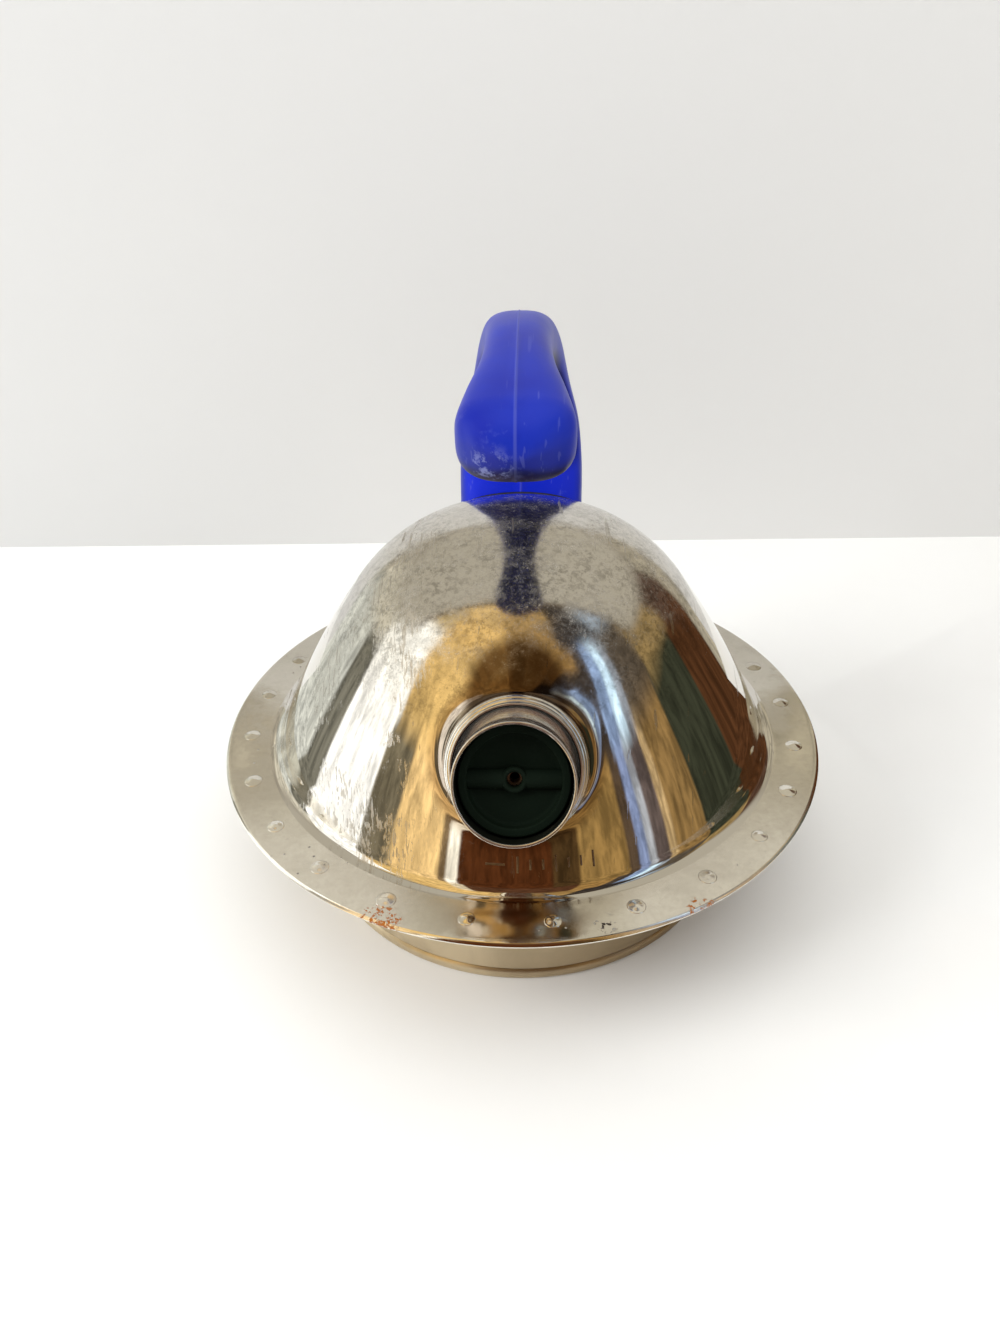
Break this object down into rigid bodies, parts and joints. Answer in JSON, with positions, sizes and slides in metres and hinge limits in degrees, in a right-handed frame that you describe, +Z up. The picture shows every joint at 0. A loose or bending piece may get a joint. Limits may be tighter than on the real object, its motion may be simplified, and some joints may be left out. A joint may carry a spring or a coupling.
{
  "type": "stovetop whistling kettle",
  "caption": "Stovetop kettle: domed steel body with a wide flange on a narrow pan, slanted spout with pull-out whistle, C-shaped blue handle.",
  "frame": {"origin": "centre of the flat base, on the surface the kettle stands on", "axes": "+Z up along the kettle's axis, -Y towards the spout, +X to the side"},
  "size_m": [0.23, 0.2377, 0.2098],
  "materials": {
    "dome_steel": "polished stainless, hazy with limescale towards the crown",
    "pan_steel": "satin stainless",
    "spout_steel": "polished stainless",
    "spreader_aluminium": "plain rolled",
    "handle_blue": "satin moulded, slightly worn",
    "whistle_black": "dull heat-resistant plastic",
    "whistle_steel": "stamped stainless",
    "seal_silicone": "dull silicone",
    "fastener_steel": "zinc plated"
  },
  "bodies": {
    "kettle": {"dome_shell": "dome_steel", "base_pan": "pan_steel", "base_cap": "pan_steel", "heat_spreader": "spreader_aluminium", "spout_collar": "spout_steel", "spout_nozzle": "spout_steel", "spout_seal": "seal_silicone", "handle_grip": "handle_blue", "handle_core": "fastener_steel", "handle_bracket": "fastener_steel", "handle_gasket": "seal_silicone", "handle_screw_upper": "fastener_steel", "handle_screw_lower": "fastener_steel", "handle_washer_upper": "fastener_steel", "handle_washer_lower": "fastener_steel", "handle_nut_upper": "fastener_steel", "handle_nut_lower": "fastener_steel"},
    "whistle": {"whistle_cup": "whistle_black", "whistle_front_plate": "whistle_steel", "whistle_back_plate": "whistle_steel", "whistle_seal": "seal_silicone"}
  },
  "joints": [
    {"name": "whistle_pull", "type": "slide", "parent": "kettle", "child": "whistle", "axis": [0, -0.848, 0.5299], "range_m": [0, 0.06]}
  ]
}
